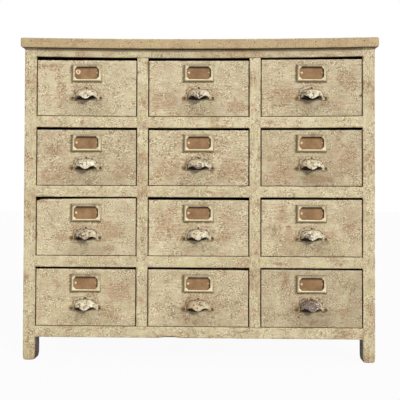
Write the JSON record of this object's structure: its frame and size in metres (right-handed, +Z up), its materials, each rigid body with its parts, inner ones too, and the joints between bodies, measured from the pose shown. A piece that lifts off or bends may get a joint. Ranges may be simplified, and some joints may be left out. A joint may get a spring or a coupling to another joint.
{
  "type": "workshop drawer cabinet",
  "caption": "Free-standing painted wooden cabinet on short legs, with a grid of sliding drawers, each with a cast cup pull and a label holder.",
  "frame": {"origin": "on the floor, under the middle of the whole object's box", "axes": "+X to the right along the front, +Y from the front to the back, +Z up; the drawers pull out along -Y"},
  "size_m": [1.02, 0.4338, 0.9203],
  "materials": {
    "frame_paint": "matte",
    "top_paint": "matte",
    "drawer_paint": "matte",
    "bare_wood": "matte",
    "pull_iron": "satin",
    "label_steel": "satin"
  },
  "bodies": {
    "carcass": {"top_board": "top_paint", "front_left_post": "frame_paint", "front_right_post": "frame_paint", "rear_left_post": "frame_paint", "rear_right_post": "frame_paint", "top_rail": "frame_paint", "drawer_rail_1": "frame_paint", "drawer_rail_2": "frame_paint", "drawer_rail_3": "frame_paint", "bottom_rail": "frame_paint", "muntin_1": "frame_paint", "muntin_2": "frame_paint", "left_side_panel": "frame_paint", "right_side_panel": "frame_paint", "rear_top_rail": "bare_wood", "rear_bottom_rail": "bare_wood", "back_panel": "bare_wood", "shelf_1": "bare_wood", "shelf_2": "bare_wood", "shelf_3": "bare_wood", "shelf_4": "bare_wood", "partition_1": "bare_wood", "partition_2": "bare_wood"},
    "drawer_r1c1": {"drawer_box_r1c1": "drawer_paint", "label_holder_r1c1": "label_steel", "cup_pull_r1c1": "pull_iron"},
    "drawer_r1c2": {"drawer_box_r1c2": "drawer_paint", "label_holder_r1c2": "label_steel", "cup_pull_r1c2": "pull_iron"},
    "drawer_r1c3": {"drawer_box_r1c3": "drawer_paint", "label_holder_r1c3": "label_steel", "cup_pull_r1c3": "pull_iron"},
    "drawer_r2c1": {"drawer_box_r2c1": "drawer_paint", "label_holder_r2c1": "label_steel", "cup_pull_r2c1": "pull_iron"},
    "drawer_r2c2": {"drawer_box_r2c2": "drawer_paint", "label_holder_r2c2": "label_steel", "cup_pull_r2c2": "pull_iron"},
    "drawer_r2c3": {"drawer_box_r2c3": "drawer_paint", "label_holder_r2c3": "label_steel", "cup_pull_r2c3": "pull_iron"},
    "drawer_r3c1": {"drawer_box_r3c1": "drawer_paint", "label_holder_r3c1": "label_steel", "cup_pull_r3c1": "pull_iron"},
    "drawer_r3c2": {"drawer_box_r3c2": "drawer_paint", "label_holder_r3c2": "label_steel", "cup_pull_r3c2": "pull_iron"},
    "drawer_r3c3": {"drawer_box_r3c3": "drawer_paint", "label_holder_r3c3": "label_steel", "cup_pull_r3c3": "pull_iron"},
    "drawer_r4c1": {"drawer_box_r4c1": "drawer_paint", "label_holder_r4c1": "label_steel", "cup_pull_r4c1": "pull_iron"},
    "drawer_r4c2": {"drawer_box_r4c2": "drawer_paint", "label_holder_r4c2": "label_steel", "cup_pull_r4c2": "pull_iron"},
    "drawer_r4c3": {"drawer_box_r4c3": "drawer_paint", "label_holder_r4c3": "label_steel", "cup_pull_r4c3": "pull_iron"}
  },
  "joints": [
    {"name": "drawer_r1c1_slide", "type": "slide", "parent": "carcass", "child": "drawer_r1c1", "axis": [0, -1, 0], "range_m": [0, 0.28]},
    {"name": "drawer_r1c2_slide", "type": "slide", "parent": "carcass", "child": "drawer_r1c2", "axis": [0, -1, 0], "range_m": [0, 0.28]},
    {"name": "drawer_r1c3_slide", "type": "slide", "parent": "carcass", "child": "drawer_r1c3", "axis": [0, -1, 0], "range_m": [0, 0.28]},
    {"name": "drawer_r2c1_slide", "type": "slide", "parent": "carcass", "child": "drawer_r2c1", "axis": [0, -1, 0], "range_m": [0, 0.28]},
    {"name": "drawer_r2c2_slide", "type": "slide", "parent": "carcass", "child": "drawer_r2c2", "axis": [0, -1, 0], "range_m": [0, 0.28]},
    {"name": "drawer_r2c3_slide", "type": "slide", "parent": "carcass", "child": "drawer_r2c3", "axis": [0, -1, 0], "range_m": [0, 0.28]},
    {"name": "drawer_r3c1_slide", "type": "slide", "parent": "carcass", "child": "drawer_r3c1", "axis": [0, -1, 0], "range_m": [0, 0.28]},
    {"name": "drawer_r3c2_slide", "type": "slide", "parent": "carcass", "child": "drawer_r3c2", "axis": [0, -1, 0], "range_m": [0, 0.28]},
    {"name": "drawer_r3c3_slide", "type": "slide", "parent": "carcass", "child": "drawer_r3c3", "axis": [0, -1, 0], "range_m": [0, 0.28]},
    {"name": "drawer_r4c1_slide", "type": "slide", "parent": "carcass", "child": "drawer_r4c1", "axis": [0, -1, 0], "range_m": [0, 0.28]},
    {"name": "drawer_r4c2_slide", "type": "slide", "parent": "carcass", "child": "drawer_r4c2", "axis": [0, -1, 0], "range_m": [0, 0.28]},
    {"name": "drawer_r4c3_slide", "type": "slide", "parent": "carcass", "child": "drawer_r4c3", "axis": [0, -1, 0], "range_m": [0, 0.28]}
  ]
}
